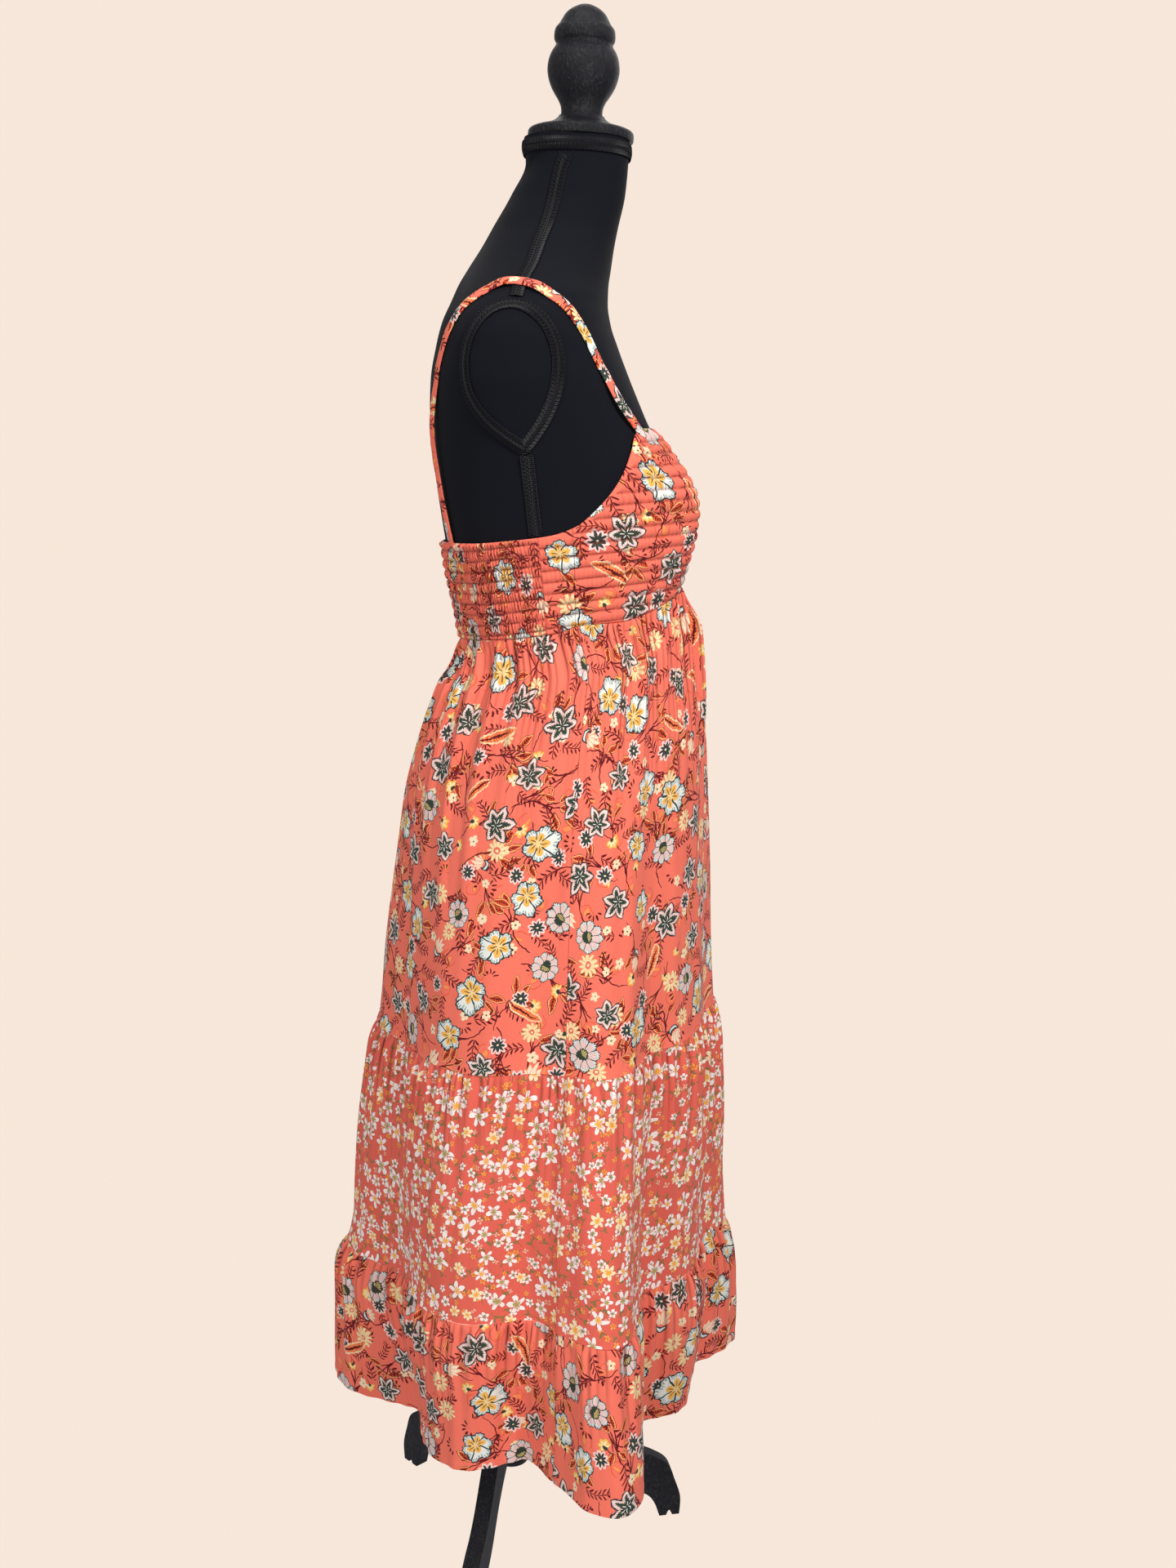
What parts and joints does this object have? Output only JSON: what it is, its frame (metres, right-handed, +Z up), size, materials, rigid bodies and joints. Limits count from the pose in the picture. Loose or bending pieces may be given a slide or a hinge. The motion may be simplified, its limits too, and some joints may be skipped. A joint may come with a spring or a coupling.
{
  "type": "tiered dress on a dress form",
  "caption": "Strappy sundress with a shirred bodice and gathered tiers, standing on a limbless black dress form with a wooden tripod.",
  "frame": {"origin": "on the floor, below the middle of the part's box", "axes": "+Z up, -Y towards the garment's front, +X towards the wearer's left"},
  "size_m": [0.571, 0.4494, 1.6187],
  "materials": {
    "coral_print": "matte woven cloth with a flower print",
    "ditsy_print": "matte woven cloth with a small flower print",
    "black_jersey": "matte stretched jersey",
    "black_braid": "looped gimp braid",
    "black_wood": "black stained wood, satin"
  },
  "bodies": {
    "root": {"bodice_front": "coral_print", "bodice_back": "coral_print", "strap_left": "coral_print", "strap_right": "coral_print", "tier1_front": "coral_print", "tier1_back": "coral_print", "tier3_front": "coral_print", "tier3_back": "coral_print", "tier2_front": "ditsy_print", "tier2_back": "ditsy_print", "form_body": "black_jersey", "braid_neck": "black_braid", "braid_shoulder_left": "black_braid", "braid_shoulder_right": "black_braid", "braid_armplate_left": "black_braid", "braid_armplate_right": "black_braid", "braid_side_left": "black_braid", "braid_side_right": "black_braid", "neck_cap": "black_wood", "finial": "black_wood", "pole": "black_wood", "hub": "black_wood", "leg_front": "black_wood", "leg_left": "black_wood", "leg_right": "black_wood"}
  },
  "joints": []
}
